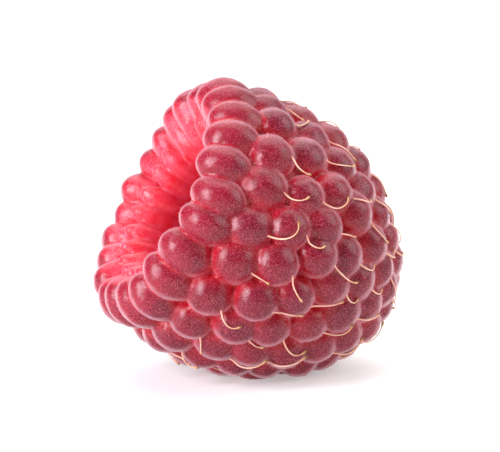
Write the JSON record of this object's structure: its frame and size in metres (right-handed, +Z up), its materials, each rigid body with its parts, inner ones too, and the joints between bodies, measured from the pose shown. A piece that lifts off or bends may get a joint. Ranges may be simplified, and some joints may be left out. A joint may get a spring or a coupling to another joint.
{
  "type": "raspberry",
  "caption": "Ripe red raspberry, picked off its receptacle and hollow, lying on its side, with dried golden styles on its drupelets.",
  "frame": {"origin": "on the surface the fruit rests on, under the centre of the whole part's box", "axes": "+Z up from the surface; +X the side that the nose points to, 29.6 degrees below level, with the mouth of the hollow at -X; +Y completes the right-handed frame"},
  "size_m": [0.0244, 0.0238, 0.0226],
  "materials": {
    "flesh": "soft, moist fruit skin with a fine pale bloom, translucent",
    "style": "dry golden plant hair"
  },
  "bodies": {
    "root": {"raspberry": "flesh", "style_01": "style", "style_02": "style", "style_03": "style", "style_04": "style", "style_05": "style", "style_06": "style", "style_07": "style", "style_08": "style", "style_09": "style", "style_10": "style", "style_11": "style", "style_12": "style", "style_13": "style", "style_14": "style", "style_15": "style", "style_16": "style", "style_17": "style", "style_18": "style", "style_19": "style", "style_20": "style", "style_21": "style", "style_22": "style", "style_23": "style", "style_24": "style", "style_25": "style", "style_26": "style", "style_27": "style", "style_28": "style", "style_29": "style", "style_30": "style", "style_31": "style", "style_32": "style", "style_33": "style", "style_34": "style", "style_35": "style", "style_36": "style", "style_37": "style", "style_38": "style", "style_39": "style", "style_40": "style", "style_41": "style", "style_42": "style", "style_43": "style", "style_44": "style", "style_45": "style", "style_46": "style", "style_47": "style", "style_48": "style", "style_49": "style", "style_50": "style", "style_51": "style", "style_52": "style", "style_53": "style", "style_54": "style"}
  },
  "joints": []
}
